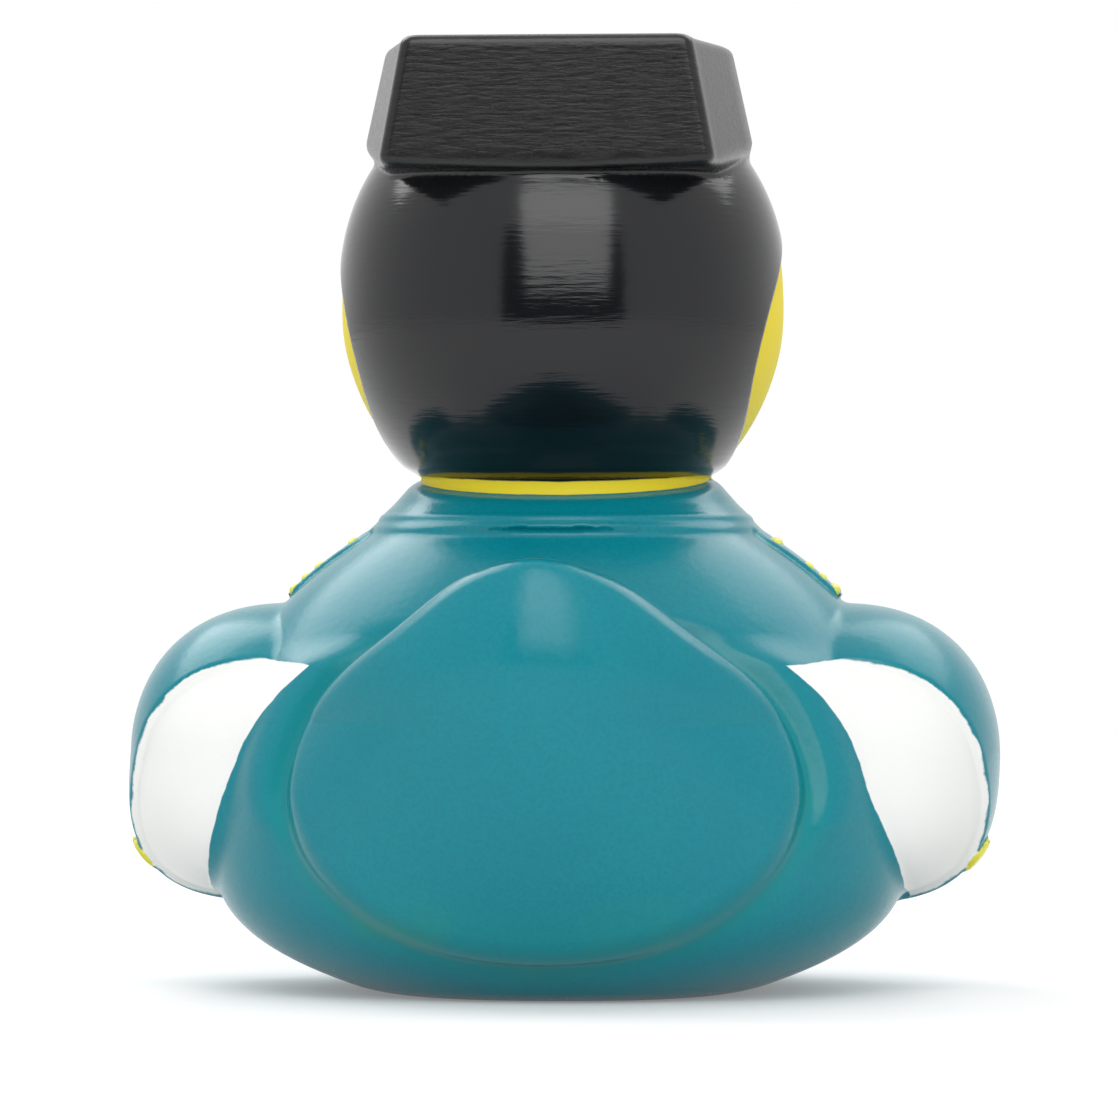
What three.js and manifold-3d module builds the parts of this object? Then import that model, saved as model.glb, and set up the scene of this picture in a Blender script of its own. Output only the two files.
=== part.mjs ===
// A bath duck dressed as a bullfighter: one hollow soft-vinyl moulding that stands on its flat base.
// Millimetres, +Z up. The duck faces -Y and its left wing is on +X. The origin is on the base,
// under the middle of the duck's outer box.
import * as THREE from "three";
import { LoftGeometry } from "three/addons/geometries/LoftGeometry.js";
import { mergeVertices } from "three/addons/utils/BufferGeometryUtils.js";
import Module from "manifold-3d";

const wasm = await Module();
wasm.setup();

// Overall
const WIDTH = 86; // across the sleeves
const REACH_FRONT = 37.3; // tip of the bill, ahead of the head's axis
const REACH_BACK = 37; // fullest part of the tail, behind it

// Shell
const WALL = 2.4; // thickness of the moulded wall
const VENT_D = 3; // air hole in the base

// Torso: half widths, and how far each level reaches to the front and to the back of its own middle
const BASE_SIDE = 17;
const BASE_FRONT = 20;
const BASE_BACK = 17;
const BELLY_Z = 17;
const BELLY_Y = 3;
const BELLY_SIDE = 34.3;
const BELLY_FRONT = 38.5;
const BELLY_BACK = 25.5;
const COLLAR_Z = 46.2;
const COLLAR_Y = -4;
const COLLAR_SIDE = 16.9;
const COLLAR_FRONT = 16.5;
const COLLAR_BACK = 17;
const BOWL_POWER = 3.4; // how low the sides turn in to the base
const SHOULDER_POWER = 2.95; // how high they turn in under the collar
const TORSO_SQUARENESS = 2.2; // 2 is an ellipse seen from above

// Collar band round the foot of the neck
const COLLAR_PROUD = 1.4;
const COLLAR_RISE = 3.6;
const COLLAR_TOP_R = 15.4;

// Head, a solid of revolution
const HEAD_RISE = 20.9; // from the collar's foot to the widest level of the head
const HEAD_R = 21.75;
const HEAD_DOWN = 22.7;
const HEAD_UP = 22;
const CROWN_SQUARENESS = 2.35;
const NECK_R = 13.5;

// Hair, a raised layer over the back of the head and round the brow
const HAIR_PROUD = 0.6;
const HAIR_EDGE_Y = 5.5; // behind the middle of the head
const HAIR_DROP = 16.3; // lower edge, below the widest level of the head
const BROW_RISE = 7.2; // hairline at the temples, above the widest level of the head
const BROW_SLOPE_DEG = 13;

// Hat, a flat-topped block wider at its foot than at its top
const HAT_SEAT_RISE = 13.2; // above the widest level of the head
const HAT_H = 12.3;
const HAT_END_FOOT = 16.4; // half width of the back and front faces
const HAT_END_TOP = 14;
const HAT_FLANK_FOOT = 19.3;
const HAT_FLANK_TOP = 16.5;
const HAT_FLANK_RISE = 3; // how much higher the foot is at the flanks
const HAT_FLANK_DROP = 0.5; // how much lower the top is at the flanks
const HAT_DEPTH_FOOT = 20.8; // half depth
const HAT_DEPTH_TOP = 19.6;
const HAT_FLANK_LENGTH = 13;

// Wings: a folded wing in a fuller sleeve, which a sloping cuff cuts off
const WING_OUT = 28; // middle of the wing, from the middle plane
const WING_Y = -3;
const WING_Z = 23.3;
const WING_LENGTH = 21.5; // half length
const WING_RISE = 14; // half height
const SLEEVE_PROUD = 0.8;
const WING_PLAN_SQUARENESS = 2.3; // 2 is an ellipse
const WING_TOP_SQUARENESS = 2.3;
const WING_FOOT_SQUARENESS = 2.8;
const WING_SPLAY = 0.06; // how far the wing leans out for each millimetre down
const CUFF_Y = 6; // where the cuff crosses the wing's middle level
const CUFF_SLOPE = 0.7; // how far the cuff runs back for each millimetre up
const CUFF_BUTTON_R = 2.1;
const CUFF_BUTTON_PROUD = 0.5;
const CUFF_BUTTON_AIM_DEG = 36; // below level, seen from the middle of the wing

// Tail: a shield on the back that leans out as it rises, to a rounded tip
const TAIL_FOOT_Z = 3.4;
const TAIL_WIDE_Z = 20;
const TAIL_FULL_Z = 36; // where it reaches furthest back
const TAIL_TIP_Z = 42.4;
const TAIL_SIDE = 24.8;
const TAIL_FOOT_BACK = 27;
const TAIL_TIP_BACK = 32;
const TAIL_DEPTH = 15; // how far its sides curve forward
const TAIL_ROUND_Z = 27; // below this the sides curve forward less and less

// Shoulder boards, and the beads round their edges
const BOARD_TOP_Z = 44.6;
const BOARD_FOOT_Z = 39;
const BOARD_Y = -3.5; // middle of the board
const BOARD_WIDTH = 13;
const BOARD_PROUD = 0.5;
const BEAD_R = 0.6;
const BEADS_ALONG = 5;
const BEADS_ACROSS = 3;

// Bill
const BILL_DROP = 4.4; // mouth line, below the widest level of the head
const BILL_SIDE = 10.5;
const UPPER_BILL_H = 4.6;
const LOWER_BILL_SIDE = 8.6;
const LOWER_BILL_SHORT = 2.2; // how much shorter the lower bill is
const LOWER_BILL_H = 3.4;

// Facets round each form: the outside, and the plainer hollow inside
const OUTSIDE = { round: 44, along: 14 };
const INSIDE = { round: 20, along: 8 };
const BEAD_FACETS = { round: 8, along: 6 };

const HEAD_Z = COLLAR_Z + HEAD_RISE;
const HAT_SEAT_Z = HEAD_Z + HAT_SEAT_RISE;
const SMALLEST_RING = 0.04; // share of a form's full section left at a pointed end, closed by a cap

const signedPower = (value, power) => Math.sign(value) * Math.abs(value) ** power;
const powerSum = (a, b, power) => (Math.abs(a) ** power + Math.abs(b) ** power) ** (1 / power);
const mix = (a, b, t) => a + (b - a) * t;

// Solids

function solid(geometry) {
  const bare = new THREE.BufferGeometry();
  bare.setAttribute("position", geometry.attributes.position);
  bare.setIndex(geometry.index);
  const merged = mergeVertices(bare, 1e-4);
  const mesh = new wasm.Mesh({
    numProp: 3,
    vertProperties: new Float32Array(merged.attributes.position.array),
    triVerts: new Uint32Array(merged.index.array),
  });
  return new wasm.Manifold(mesh);
}

function geometryOf(manifold) {
  const { vertProperties, triVerts } = manifold.getMesh();
  const geometry = new THREE.BufferGeometry();
  geometry.setAttribute("position", new THREE.BufferAttribute(vertProperties, 3));
  geometry.setIndex(new THREE.BufferAttribute(triVerts, 1));
  geometry.computeVertexNormals();
  return geometry;
}

const joined = (...solids) => solids.reduce((whole, next) => whole.add(next));

function closedLoft(sections) {
  return solid(new LoftGeometry(sections, { capStart: true, capEnd: true }));
}

// A box that reaches far past the duck on every side but one: its face at the origin, facing `normal`.
function halfSpace(point, normal) {
  const far = 4 * (COLLAR_Z + HEAD_RISE + HEAD_UP);
  const box = new THREE.BoxGeometry(far, far, far).translate(0, 0, -far / 2);
  const turn = new THREE.Quaternion().setFromUnitVectors(new THREE.Vector3(0, 0, 1), normal);
  return solid(box.applyQuaternion(turn).translate(point.x, point.y, point.z));
}

function ellipsoid(centre, reach, facets) {
  const ball = new THREE.SphereGeometry(1, facets.round, facets.along);
  ball.rotateX(Math.PI / 2);
  return solid(ball.scale(reach.x, reach.y, reach.z).translate(centre.x, centre.y, centre.z));
}

// Torso

// How far the torso reaches from its middle at height z, given that reach at its three levels.
function torsoReach(base, belly, collar, z) {
  if (z <= BELLY_Z) return belly - (belly - base) * (1 - z / BELLY_Z) ** BOWL_POWER;
  const above = (z - BELLY_Z) / (COLLAR_Z - BELLY_Z);
  return belly - (belly - collar) * above ** SHOULDER_POWER;
}

function torsoMiddle(z) {
  const above = THREE.MathUtils.clamp((z - BELLY_Z) / (COLLAR_Z - BELLY_Z), 0, 1);
  return mix(BELLY_Y, COLLAR_Y, above);
}

// A point on the torso, moved inwards along its upright profile by `inset`. Angle 0 is the left side.
function torsoPoint(angle, z, inset = 0) {
  const across = signedPower(Math.cos(angle), 2 / TORSO_SQUARENESS);
  const along = signedPower(Math.sin(angle), 2 / TORSO_SQUARENESS);
  const ends = along < 0
    ? [BASE_FRONT, BELLY_FRONT, COLLAR_FRONT]
    : [BASE_BACK, BELLY_BACK, COLLAR_BACK];
  const at = (height) => new THREE.Vector2(
    across * torsoReach(BASE_SIDE, BELLY_SIDE, COLLAR_SIDE, height),
    along * torsoReach(...ends, height),
  );
  const step = 0.01 * BELLY_Z;
  const low = Math.max(z - step, 0);
  const high = Math.min(z + step, COLLAR_Z);
  const lean = (at(high).length() - at(low).length()) / (high - low);
  const move = inset / Math.hypot(1, lean);
  const place = at(z);
  place.setLength(place.length() - move);
  return new THREE.Vector3(place.x, torsoMiddle(z) + place.y, z + move * lean);
}

function torso(inset, facets) {
  const sections = [];
  for (let i = 0; i <= facets.along; i += 1) {
    const share = i / facets.along;
    const z = COLLAR_Z * share ** 1.5;
    const ring = [];
    for (let j = 0; j < facets.round; j += 1) {
      ring.push(torsoPoint((2 * Math.PI * j) / facets.round, z, inset));
    }
    sections.push(ring);
  }
  return closedLoft(sections);
}

// Collar and head

function collar(facets) {
  const foot = COLLAR_SIDE + COLLAR_PROUD;
  const profile = [
    new THREE.Vector2(0, -COLLAR_RISE),
    new THREE.Vector2(COLLAR_SIDE, -COLLAR_RISE / 2),
    new THREE.Vector2(foot, -COLLAR_PROUD),
    new THREE.Vector2(foot + COLLAR_PROUD / 3, 0),
    new THREE.Vector2(foot, COLLAR_PROUD / 2),
    new THREE.Vector2(COLLAR_TOP_R, COLLAR_RISE),
    new THREE.Vector2(0, COLLAR_RISE),
  ];
  const ring = new THREE.LatheGeometry(profile, facets.round).rotateX(Math.PI / 2);
  return solid(ring.translate(0, COLLAR_Y, COLLAR_Z));
}

// The head's radius at a level measured from its widest one, for a head grown by `out`.
function headRadius(level, out) {
  const [half, power] = level < 0 ? [HEAD_DOWN, 2] : [HEAD_UP, CROWN_SQUARENESS];
  const share = Math.min(Math.abs(level) / (half + out), 1);
  return (HEAD_R + out) * (1 - share ** power) ** (1 / power);
}

function head(out, facets) {
  const profile = [];
  for (let i = 0; i <= facets.along; i += 1) {
    const turn = Math.PI * (i / facets.along - 0.5);
    const half = turn < 0 ? HEAD_DOWN : HEAD_UP;
    const level = (half + out) * Math.sin(turn);
    const onAxis = i === 0 || i === facets.along;
    profile.push(new THREE.Vector2(onAxis ? 0 : headRadius(level, out), level));
  }
  const round = new THREE.LatheGeometry(profile, facets.round).rotateX(Math.PI / 2);
  return solid(round.translate(0, 0, HEAD_Z));
}

function neck(inset, facets) {
  const length = HEAD_RISE + COLLAR_RISE;
  const tube = new THREE.CylinderGeometry(NECK_R - inset, NECK_R - inset, length, facets.round);
  tube.rotateX(Math.PI / 2);
  return solid(tube.translate(0, COLLAR_Y, COLLAR_Z - COLLAR_RISE + length / 2));
}

function hair(facets) {
  const grown = head(HAIR_PROUD, facets);
  const behind = halfSpace(new THREE.Vector3(0, HAIR_EDGE_Y, 0), new THREE.Vector3(0, -1, 0));
  const slope = THREE.MathUtils.degToRad(BROW_SLOPE_DEG);
  const temple = new THREE.Vector3(0, HAIR_EDGE_Y, HEAD_Z + BROW_RISE);
  const aboveBrow = halfSpace(temple, new THREE.Vector3(0, -Math.sin(slope), -Math.cos(slope)));
  const floor = new THREE.Vector3(0, 0, HEAD_Z - HAIR_DROP);
  const aboveNape = halfSpace(floor, new THREE.Vector3(0, 0, -1));
  return grown.intersect(joined(behind, aboveBrow)).intersect(aboveNape);
}

// Hat

function hatRing(z, flankZ, end, flank, depth) {
  const run = HAT_FLANK_LENGTH / 2;
  const corners = [[flank, -run, flankZ], [flank, run, flankZ], [end, depth, z], [-end, depth, z]];
  const opposite = corners.map(([x, y, height]) => [-x, -y, height]);
  return [...corners, ...opposite].map((corner) => new THREE.Vector3(...corner));
}

function hat(inset) {
  const foot = HAT_SEAT_Z + inset;
  const top = HAT_SEAT_Z + HAT_H - inset;
  return closedLoft([
    hatRing(
      foot, foot + HAT_FLANK_RISE,
      HAT_END_FOOT - inset, HAT_FLANK_FOOT - inset, HAT_DEPTH_FOOT - inset,
    ),
    hatRing(
      top, top - HAT_FLANK_DROP,
      HAT_END_TOP - inset, HAT_FLANK_TOP - inset, HAT_DEPTH_TOP - inset,
    ),
  ]);
}

// Wings, made on the left and mirrored

const WING_REACH = WIDTH / 2 - SLEEVE_PROUD - WING_OUT; // half width

// The point of the wing, grown by `out`, that lies in the given direction from its middle.
function wingPoint(direction, out) {
  const reach = new THREE.Vector3(WING_REACH + out, WING_LENGTH + out, WING_RISE + out);
  const level = powerSum(direction.x, direction.y, WING_PLAN_SQUARENESS);
  const upright = direction.z > 0 ? WING_TOP_SQUARENESS : WING_FOOT_SQUARENESS;
  const point = direction.clone().divideScalar(powerSum(level, direction.z, upright)).multiply(reach);
  point.x += WING_OUT - WING_SPLAY * point.z;
  point.y += WING_Y;
  point.z += WING_Z;
  return point;
}

function wing(out, facets) {
  const ball = new THREE.SphereGeometry(1, facets.round, facets.along);
  ball.rotateX(Math.PI / 2);
  const places = ball.attributes.position;
  const direction = new THREE.Vector3();
  for (let i = 0; i < places.count; i += 1) {
    direction.fromBufferAttribute(places, i);
    places.setXYZ(i, ...wingPoint(direction, out).toArray());
  }
  return solid(ball);
}

function sleeve(facets) {
  const cuff = new THREE.Vector3(0, CUFF_Y, WING_Z);
  const facing = new THREE.Vector3(0, 1, -CUFF_SLOPE).normalize();
  return wing(SLEEVE_PROUD, facets).intersect(halfSpace(cuff, facing));
}

function cuffButton(facets) {
  const aim = THREE.MathUtils.degToRad(CUFF_BUTTON_AIM_DEG);
  const outwards = new THREE.Vector3(Math.cos(aim), 0, -Math.sin(aim));
  const disc = new THREE.SphereGeometry(CUFF_BUTTON_R, facets.round, facets.along);
  disc.rotateX(Math.PI / 2).scale(1, 1, CUFF_BUTTON_PROUD / CUFF_BUTTON_R);
  const turn = new THREE.Quaternion().setFromUnitVectors(new THREE.Vector3(0, 0, 1), outwards);
  const place = wingPoint(outwards, SLEEVE_PROUD);
  return solid(disc.applyQuaternion(turn).translate(place.x, place.y, place.z));
}

// Tail

function tailWidth(z, inset) {
  const side = TAIL_SIDE - inset;
  if (z <= TAIL_WIDE_Z) {
    const below = (TAIL_WIDE_Z - z) / (TAIL_WIDE_Z - TAIL_FOOT_Z - inset);
    return side * Math.sqrt(Math.max(1 - below ** 2, 0));
  }
  const above = (z - TAIL_WIDE_Z) / (TAIL_TIP_Z - TAIL_WIDE_Z - inset);
  return side * Math.max(1 - above ** 1.7, 0) ** 0.7;
}

function tailBack(z, inset) {
  if (z <= TAIL_FULL_Z) {
    const below = (TAIL_FULL_Z - z) / (TAIL_FULL_Z - TAIL_FOOT_Z);
    return mix(REACH_BACK, TAIL_FOOT_BACK, below ** 1.3) - inset;
  }
  const above = (z - TAIL_FULL_Z) / (TAIL_TIP_Z - TAIL_FULL_Z);
  return mix(REACH_BACK, TAIL_TIP_BACK, 0.4 * above ** 2 + 0.6 * above ** 8) - inset;
}

function tail(inset, facets) {
  const foot = TAIL_FOOT_Z + inset;
  const tip = TAIL_TIP_Z - inset;
  const sections = [];
  for (let i = 0; i <= facets.along; i += 1) {
    const level = (1 - Math.cos((Math.PI * i) / facets.along)) / 2;
    const z = mix(foot, tip, level);
    const width = Math.max(tailWidth(z, inset), SMALLEST_RING * TAIL_SIDE);
    const fullness = (width / TAIL_SIDE) ** 0.85 * Math.min(z / TAIL_ROUND_Z, 1);
    const depth = Math.max((TAIL_DEPTH - inset) * fullness, SMALLEST_RING);
    const middle = tailBack(z, inset) - depth;
    const ring = [];
    for (let j = 0; j < facets.round; j += 1) {
      const angle = (2 * Math.PI * j) / facets.round;
      ring.push(new THREE.Vector3(width * Math.cos(angle), middle + depth * Math.sin(angle), z));
    }
    sections.push(ring);
  }
  return closedLoft(sections);
}

// Shoulder boards, laid on the torso

// A point over the left shoulder: `across` runs from -1 at the front edge to 1 at the back, `down` from 0 to 1.
function onShoulder(across, down, lift) {
  const z = mix(BOARD_TOP_Z, BOARD_FOOT_Z, down);
  const aside = BOARD_Y + (across * BOARD_WIDTH) / 2 - torsoMiddle(z);
  const ends = aside < 0
    ? [BASE_FRONT, BELLY_FRONT, COLLAR_FRONT]
    : [BASE_BACK, BELLY_BACK, COLLAR_BACK];
  const share = signedPower(aside / torsoReach(...ends, z), TORSO_SQUARENESS / 2);
  return torsoPoint(Math.asin(THREE.MathUtils.clamp(share, -1, 1)), z, -lift);
}

function shoulderBoard(facets) {
  const block = new THREE.BoxGeometry(2 * BELLY_SIDE, BOARD_WIDTH, BOARD_TOP_Z - BOARD_FOOT_Z);
  block.translate(BELLY_SIDE, BOARD_Y, (BOARD_TOP_Z + BOARD_FOOT_Z) / 2);
  return torso(-BOARD_PROUD, facets).intersect(solid(block));
}

// Where the beads stand: round the edge of the board.
function beadPlaces() {
  const places = [];
  for (let i = 0; i < BEADS_ALONG; i += 1) {
    const down = i / (BEADS_ALONG - 1);
    places.push([-1, down], [1, down]);
  }
  for (let i = 1; i < BEADS_ACROSS - 1; i += 1) {
    const across = (2 * i) / (BEADS_ACROSS - 1) - 1;
    places.push([across, 0], [across, 1]);
  }
  return places;
}

function beads() {
  const margin = 0.84; // keeps a bead's middle on its board
  const balls = beadPlaces().map(([across, down]) => {
    const place = onShoulder(margin * across, mix(0.5, down, margin), BOARD_PROUD - BEAD_R / 3);
    return ellipsoid(place, new THREE.Vector3(BEAD_R, BEAD_R, BEAD_R), BEAD_FACETS);
  });
  return joined(...balls);
}

// Bill

function bill(facets) {
  const mouth = HEAD_Z - BILL_DROP;
  const root = -headRadius(-BILL_DROP, 0);
  const length = REACH_FRONT + root;
  const upper = ellipsoid(
    new THREE.Vector3(0, root, mouth),
    new THREE.Vector3(BILL_SIDE, length, UPPER_BILL_H),
    facets,
  );
  const lower = ellipsoid(
    new THREE.Vector3(0, root, mouth - LOWER_BILL_H / 2),
    new THREE.Vector3(LOWER_BILL_SIDE, length - LOWER_BILL_SHORT, LOWER_BILL_H),
    facets,
  );
  return upper.add(lower);
}

// The duck

function mirrored(leftSolid) {
  return leftSolid.add(leftSolid.mirror([1, 0, 0]));
}

function outside() {
  const half = { round: OUTSIDE.round / 2, along: OUTSIDE.along };
  const leftWing = joined(
    wing(0, half),
    sleeve(half),
    cuffButton({ round: half.round / 2, along: BEAD_FACETS.along }),
    shoulderBoard(OUTSIDE),
    beads(),
  );
  return joined(
    torso(0, OUTSIDE),
    collar(OUTSIDE),
    neck(0, OUTSIDE),
    head(0, OUTSIDE),
    hair(OUTSIDE),
    hat(0),
    tail(0, OUTSIDE),
    bill(half),
    mirrored(leftWing),
  );
}

function hollow() {
  return joined(
    torso(WALL, INSIDE),
    neck(WALL, INSIDE),
    head(-WALL, INSIDE),
    hat(WALL),
    tail(WALL, INSIDE),
    mirrored(wing(-WALL, INSIDE)),
  );
}

function vent() {
  const bore = new THREE.CylinderGeometry(VENT_D / 2, VENT_D / 2, 4 * WALL, 16);
  return solid(bore.rotateX(Math.PI / 2).translate(0, BELLY_Y, 0));
}

const shell = outside().subtract(hollow()).subtract(vent());

const teal = new THREE.MeshStandardMaterial({ color: 0x19899a, roughness: 0.4, metalness: 0 });
const duck = new THREE.Mesh(geometryOf(shell), teal);
duck.name = "duck";

const part = new THREE.Group();
part.add(duck);

export default part;
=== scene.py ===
"""A bath duck dressed as a bullfighter, one hollow painted moulding, seen from behind."""
import math

import bpy
import numpy as np
from mathutils import Matrix, Vector


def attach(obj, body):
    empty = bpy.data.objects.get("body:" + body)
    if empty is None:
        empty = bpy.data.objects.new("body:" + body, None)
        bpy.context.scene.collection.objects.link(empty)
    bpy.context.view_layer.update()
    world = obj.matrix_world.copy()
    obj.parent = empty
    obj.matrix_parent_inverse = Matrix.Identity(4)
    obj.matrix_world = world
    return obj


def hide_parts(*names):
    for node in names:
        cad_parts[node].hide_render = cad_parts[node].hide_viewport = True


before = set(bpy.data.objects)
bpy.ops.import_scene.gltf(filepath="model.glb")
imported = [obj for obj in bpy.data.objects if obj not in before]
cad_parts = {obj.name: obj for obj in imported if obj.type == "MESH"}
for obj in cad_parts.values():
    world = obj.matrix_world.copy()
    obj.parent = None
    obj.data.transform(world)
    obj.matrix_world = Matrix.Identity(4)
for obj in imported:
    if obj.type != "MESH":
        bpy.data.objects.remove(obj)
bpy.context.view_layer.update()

MM = 0.001  # sizes below are millimetres; the duck faces -Y, its left wing is on +X

# Overall and shell
WIDTH = 86.0
REACH_FRONT = 37.3
REACH_BACK = 37.0
WALL, HOLLOW_BLEND = 2.4, 4.0
VENT_D = 3.0

# Torso: half widths, and how far each level reaches ahead of and behind its own middle
BASE_SIDE, BASE_FRONT, BASE_BACK = 17.5, 20.0, 17.0
BELLY_Z, BELLY_Y = 17.0, 3.0
BELLY_SIDE, BELLY_FRONT, BELLY_BACK = 34.3, 38.5, 25.5
COLLAR_Z, COLLAR_Y = 46.2, -4.0
COLLAR_SIDE, COLLAR_FRONT, COLLAR_BACK = 16.9, 16.5, 17.0
BOWL_POWER, SHOULDER_POWER, TORSO_SQUARENESS = 3.4, 2.95, 2.2

# Collar band, whose top dips at the nape
COLLAR_PROUD, COLLAR_RISE, COLLAR_TOP_R, COLLAR_DIP = 1.6, 4.1, 14.9, 0.115
COLLAR_LAP, COLLAR_RIM_IN, COLLAR_RIM_HALF = 0.6, 0.15, 0.35

# Head, hair and hat
HEAD_Z = COLLAR_Z + 20.9
HEAD_R, HEAD_DOWN, HEAD_UP, CROWN_SQUARENESS = 21.75, 21.9, 22.0, 2.35
NECK_R, NECK_SINK = 14.1, 8.0
NECK_LEAN, NECK_LEAN_END = 2.8, 20.0  # the head draws forward to the neck
HAIR_PROUD, HAIR_DROP = 0.42, 16.9
CHEEK_BACK, CHEEK_Z, CHEEK_CURVE = 8.4, HEAD_Z - 4.6, 0.075  # where the bare cheek reaches furthest back
BROW_RISE, BROW_SLOPE = 7.2, math.tan(math.radians(13))
NAPE_LIFT, NAPE_SIDE = 0.7, 14.0  # the hair's lower edge rises this much, this far to either side
HAT_SEAT_Z, HAT_H, HAT_SINK, HAT_FOOT_CURVE = HEAD_Z + 13.2, 12.3, 0.6, 0.9
HAT_END_FOOT, HAT_END_TOP = 16.0, 13.7
HAT_FLANK_FOOT, HAT_FLANK_TOP, HAT_FLANK_Y = 19.6, 16.9, 4.7
HAT_FLANK_RISE, HAT_FLANK_DROP, HAT_FLANK_LENGTH = 2.2, 0.2, 3.0
HAT_FLANK_SINK, HAT_FLANK_IN, HAT_FLANK_OUT = 0.4, 15.5, 19.5
HAT_DEPTH_FOOT, HAT_DEPTH_TOP = 20.5, 20.9

# Wings and sleeves
WING_OUT, WING_Y, WING_Z = 28.0, -3.0, 23.3
WING_FRONT, WING_BACK, WING_RISE = 21.5, 18.7, 14.0
SLEEVE_PROUD = 0.8
WING_REACH = WIDTH / 2 - SLEEVE_PROUD - WING_OUT
WING_PLAN_SQUARENESS, WING_TOP_SQUARENESS, WING_FOOT_SQUARENESS = 2.3, 2.3, 2.8
WING_SPLAY, TIP_SPLAY_LEFT, TIP_SPLAY_RIGHT = 0.05, 0.08, -0.02  # the two tips hang differently
CUFF_Y, CUFF_SLOPE = 7.1, 0.63
CUFF_BUTTON_R, CUFF_BUTTON_PROUD, CUFF_BUTTON_Y = 2.0, 0.5, -2.0
CUFF_BUTTON_AIM = math.radians(38)  # how far below level it faces
CUFF_BUTTON_SQUEEZE = 0.7  # its height as a share of its length

# Tail
TAIL_FOOT_Z, TAIL_WIDE_Z, TAIL_FULL_Z, TAIL_TIP_Z = 3.4, 20.0, 33.0, 42.6
TAIL_SIDE, TAIL_FOOT_BACK, TAIL_TIP_BACK = 25.2, 27.0, 34.4
TAIL_TIP_SQUARENESS, TAIL_FOOT_SQUARENESS = 1.6, 2.0
TAIL_FLAT, TAIL_FLAT_AT, TAIL_FLAT_SPREAD = 0.12, 0.76, 0.26  # how the upper flanks are drawn in, as shares
TAIL_DEPTH, TAIL_ROUND_Z, TAIL_CREST = 15.5, 27.0, 1.5
TAIL_NARROWING = 1.35  # the power of the width that the depth goes by
TAIL_ROLL, TAIL_ROLL_POWER = 0.15, 6  # the share of the depth that is left for the edge to roll over
TAIL_ROUNDING, TAIL_MORE_ROUNDING = 1.1, 2.1
TAIL_ROUNDING_LEVELS = (-6, 10)  # below its widest level
TAIL_FOOT_SWEEP, TAIL_TIP_SWEEP = 1.5, 2  # how sharply the back sweeps in to the foot and the tip

# Groove round the tail and the low ridge beside it; levels are the heights between which a thing changes
FLANK_LEVELS, RIDGE_END_LEVELS = (12, 22), (35.5, 32)
GROOVE_DEPTH, GROOVE_HALF = 0.5, 1.2
GROOVE_MORE_DEPTH, GROOVE_MORE_HALF = 0.4, 0.1  # added on the flanks
RIDGE_PROUD, RIDGE_AWAY, RIDGE_NEAR, RIDGE_FAR = 1.2, 1.2, 0.8, 3.4

# How softly the tail and the wings run into the torso
TAIL_BLEND, TAIL_LESS_BLEND, TAIL_BLEND_LEVELS = 2.2, 1.5, (30, 36)
WING_BLEND, WING_MORE_BLEND = 1.0, 1.2
WING_BLEND_FOOT_LEVELS, WING_BLEND_TOP_LEVELS = (22, 28), (34, 30)

# Shoulder boards and beads
BOARD_TOP_Z, BOARD_FOOT_Z, BOARD_Y, BOARD_WIDTH, BOARD_PROUD = 45.0, 38.8, -6.3, 13.0, 0.5
BEAD_R, BEAD_SINK = 0.75, 0.45
BEAD_ROWS = (0.8, 1.9, 3.0, 5.4)  # heights above the board's foot
BEAD_EDGE, BEAD_INNER = 0.84, 0.42  # shares of the board's half width

# Bill and eyes
BILL_DROP = 4.4
BILL_Z = HEAD_Z - BILL_DROP
BILL_SIDE, UPPER_BILL_H, UPPER_BILL_SAG, UPPER_BILL_SQUARENESS = 10.5, 4.6, 1.4, 2.3
LOWER_BILL_SIDE, LOWER_BILL_SHORT, LOWER_BILL_H = 8.6, 2.2, 3.4
LOWER_BILL_DROP, LOWER_BILL_SQUARENESS = 1.0, 2.2
EYE_OUT, EYE_Z, EYE_HALF_WIDTH, EYE_HALF_HEIGHT = 8.2, HEAD_Z + 3.2, 2.6, 3.5

# White of the folded wings, drawn as seen from behind
WHITE_SIDE, WHITE_FOOT_Z, WHITE_CURVE, WHITE_POWER = 34.2, 11.0, 0.0073, 2.4
WHITE_SWELL_LEFT, WHITE_SWELL_RIGHT, WHITE_SWELL_Z, WHITE_SWELL_HALF = 1.2, 2.1, 19.5, 6.5
WHITE_TOP_X, WHITE_TOP_Z, WHITE_TOP_SLOPE = 22.8, 32.2, 0.12

# How far a paint runs over the edge of its form, or stops short of it
HAIR_PAINT_OVER, CUFF_PAINT_OVER, HAT_PAINT_SHORT = 0.25, 0.15, 0.25
BILL_PAINT_Y = -10.0  # bill paint stays ahead of this
PAINT_REACH = 9.0  # distances from an edge are kept up to this

# Meshes
GRID_LOW, GRID_HIGH = (-44.5, -38.5, -1.3), (44.5, 38.5, 94.0)  # a box round the whole duck
SKIN_STEP = 0.42  # spacing of the outer skin's points, before the flatter parts are thinned
SKIN_TRIANGLES = 180000
HOLLOW_STEP = 1.7
SLOPE_REACH = 0.05  # how far to either side of a point a slope is measured
ROUND = 2.0  # the squareness of an ellipse


# Joining and cutting soft forms

def soft_join(a, b, blend):
    share = np.clip(0.5 + 0.5 * (b - a) / blend, 0, 1)
    return b + (a - b) * share - blend * share * (1 - share)


def soft_cut(a, b, blend):
    """What lies inside both a and b, with a rounded edge where they meet."""
    return -soft_join(-a, -b, blend)


def eased(value, start, end):
    share = np.clip((value - start) / (end - start), 0, 1)
    return share * share * (3 - 2 * share)


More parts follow.
